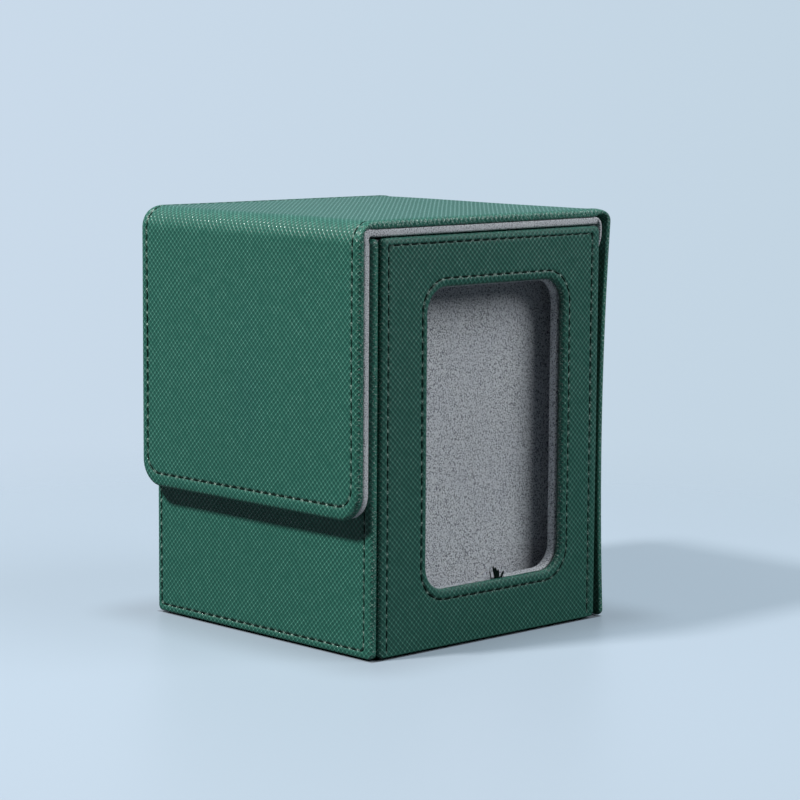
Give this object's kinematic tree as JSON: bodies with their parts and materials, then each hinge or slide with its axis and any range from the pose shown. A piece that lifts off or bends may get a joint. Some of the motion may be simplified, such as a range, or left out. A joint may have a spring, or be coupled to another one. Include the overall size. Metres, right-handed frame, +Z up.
{
  "type": "card storage box",
  "caption": "Leather-covered card storage box with a wrap-over hinged lid and magnetic front flap, a suede-lined card well and a display pocket behind an open window.",
  "frame": {"origin": "on the table under the middle of the closed box", "axes": "+Z up, -Y towards the flap side, +X towards the window side"},
  "size_m": [0.0814, 0.0856, 0.1042],
  "materials": {
    "leather": "satin woven grain",
    "suede": "matte nap",
    "board": "matte",
    "magnet": "plated"
  },
  "bodies": {
    "box": {"front_cover": "leather", "front_board": "board", "front_magnets": "magnet", "front_lining": "suede", "left_cover": "leather", "left_board": "board", "left_lining": "suede", "window_cover": "leather", "window_board": "board", "window_lining": "suede", "back_wall_board": "board", "back_wall_lining": "suede", "base_cover": "leather", "base_board": "board", "base_lining": "suede", "partition_board": "board", "partition_lining": "suede", "back_panel_cover": "leather", "back_panel_board": "board", "back_panel_lining": "suede", "rear_hinge_leather": "leather", "rear_hinge_lining": "suede"},
    "lid": {"lid_cover": "leather", "lid_board": "board", "lid_lining": "suede", "front_fold_leather": "leather", "front_fold_lining": "suede"},
    "flap": {"flap_cover": "leather", "flap_board": "board", "flap_magnets": "magnet", "flap_lining": "suede"}
  },
  "joints": [
    {"name": "lid_hinge", "type": "hinge", "parent": "box", "child": "lid", "pos_m": [0, 0.04134, 0.10274], "axis": [-1, 0, 0], "range_deg": [0, 200], "deforming": ["rear_hinge_leather", "rear_hinge_lining"]},
    {"name": "flap_fold", "type": "hinge", "parent": "lid", "child": "flap", "pos_m": [0, -0.04119, 0.10259], "axis": [-1, 0, 0], "range_deg": [0, 120], "deforming": ["front_fold_leather", "front_fold_lining"]}
  ]
}
